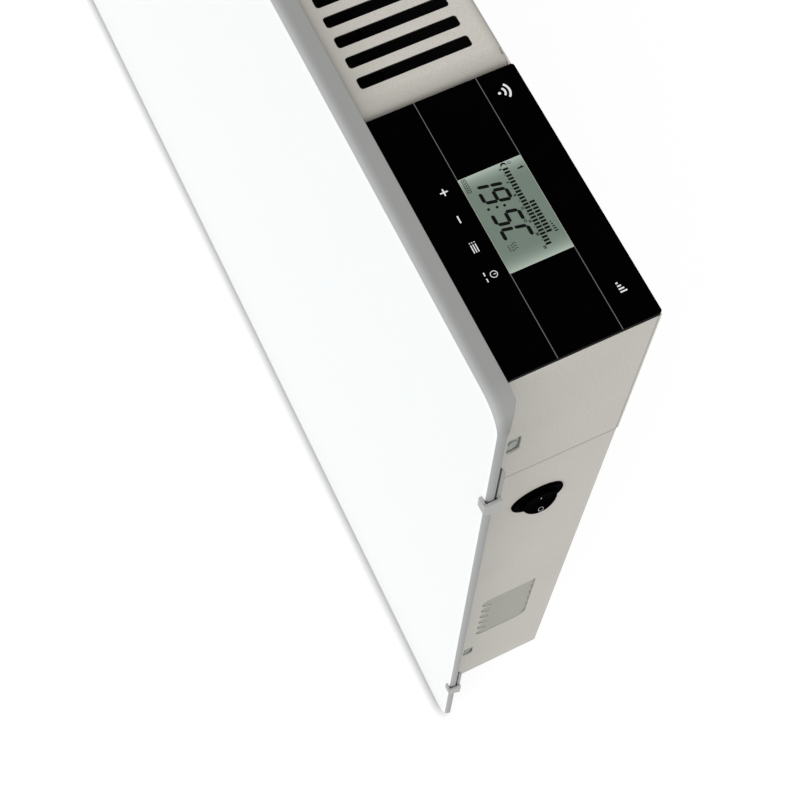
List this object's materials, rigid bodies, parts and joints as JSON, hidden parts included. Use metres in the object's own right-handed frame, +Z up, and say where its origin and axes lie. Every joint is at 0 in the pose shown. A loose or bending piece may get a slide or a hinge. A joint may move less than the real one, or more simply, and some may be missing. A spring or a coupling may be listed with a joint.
{
  "type": "wall panel convector heater",
  "caption": "Flat wall-hung convector heater: white front panel over a grey slotted casing, touch controls and display on top, rocker switch on the side, hook-on wall frame.",
  "frame": {"origin": "centre of the wall frame's four bolt holes, on the wall's surface", "axes": "+X to the user's right along the heater, +Y into the wall, +Z up"},
  "size_m": [0.7832, 0.0934, 0.504],
  "materials": {
    "panel_enamel": "white semi-gloss stove enamel",
    "panel_back": "pale grey enamel on the panel's fittings",
    "casing_enamel": "warm grey powder coat, fine texture",
    "casing_moulding": "warm grey moulded plastic, fine texture",
    "control_glass": "black back-painted glass with white marks",
    "display": "grey-green liquid crystal display",
    "black_plastic": "black moulded plastic",
    "switch_rocker": "black glossy plastic",
    "frame_steel": "galvanised sheet steel",
    "screw_steel": "zinc-plated steel",
    "chamber_black": "matt black heat-proof enamel",
    "fin_aluminium": "extruded aluminium",
    "ceramic": "white steatite",
    "board_green": "green circuit board",
    "white_plastic": "natural white plastic",
    "wound_core": "varnished core and coil",
    "terminal_brass": "plain brass",
    "lead_rubber": "silicone insulation",
    "pad_rubber": "conductive rubber"
  },
  "bodies": {
    "wall_frame": {"wall_frame": "frame_steel"},
    "heater": {"front_panel": "panel_enamel", "panel_rail_upper": "panel_back", "panel_rail_lower": "panel_back", "panel_clip_right_upper": "casing_enamel", "panel_clip_right_lower": "casing_enamel", "panel_clip_left_upper": "casing_enamel", "panel_clip_left_lower": "casing_enamel", "clip_screws": "screw_steel", "panel_lugs": "panel_back", "lug_screws": "screw_steel", "front_plate": "casing_enamel", "rear_panel": "casing_enamel", "rear_screws": "screw_steel", "hook_plates": "frame_steel", "wall_spacers": "black_plastic", "top_grille": "casing_enamel", "bottom_grille": "casing_enamel", "right_cheek": "casing_moulding", "left_cheek": "casing_moulding", "head_housing": "casing_moulding", "control_glass": "control_glass", "lcd_module": "display", "lcd_frame": "black_plastic", "control_board": "board_green", "board_screws": "screw_steel", "touch_pads": "pad_rubber", "radio_module": "screw_steel", "switch_body": "black_plastic", "switch_terminals": "terminal_brass", "baffle_right": "chamber_black", "baffle_left": "chamber_black", "element_rod": "screw_steel", "element_fins": "fin_aluminium", "element_bushes": "ceramic", "heat_shield": "fin_aluminium", "air_deflector": "chamber_black", "cutout_bracket": "frame_steel", "overheat_cutouts": "screw_steel", "supply_board": "board_green", "board_spacers": "white_plastic", "relay": "black_plastic", "supply_transformer": "wound_core", "filter_capacitor": "white_plastic", "supply_capacitor": "black_plastic", "lead_sockets": "white_plastic", "terminal_block": "white_plastic", "terminal_screws": "terminal_brass", "cord_clamp": "white_plastic", "cable_gland": "black_plastic", "earth_stud": "terminal_brass", "sensor_holder": "white_plastic", "room_sensor": "ceramic", "element_leads": "lead_rubber", "switch_leads": "lead_rubber", "sensor_lead": "lead_rubber"},
    "rocker": {"switch_rocker": "switch_rocker"}
  },
  "joints": [
    {"name": "lift_off", "type": "slide", "parent": "wall_frame", "child": "heater", "axis": [0, 0, 1], "range_m": [0, 0.012]},
    {"name": "power_rocker", "type": "hinge", "parent": "heater", "child": "rocker", "pos_m": [0.3763, -0.0567, 0.0811], "axis": [0, 1, 0], "range_deg": [0, 20]}
  ]
}
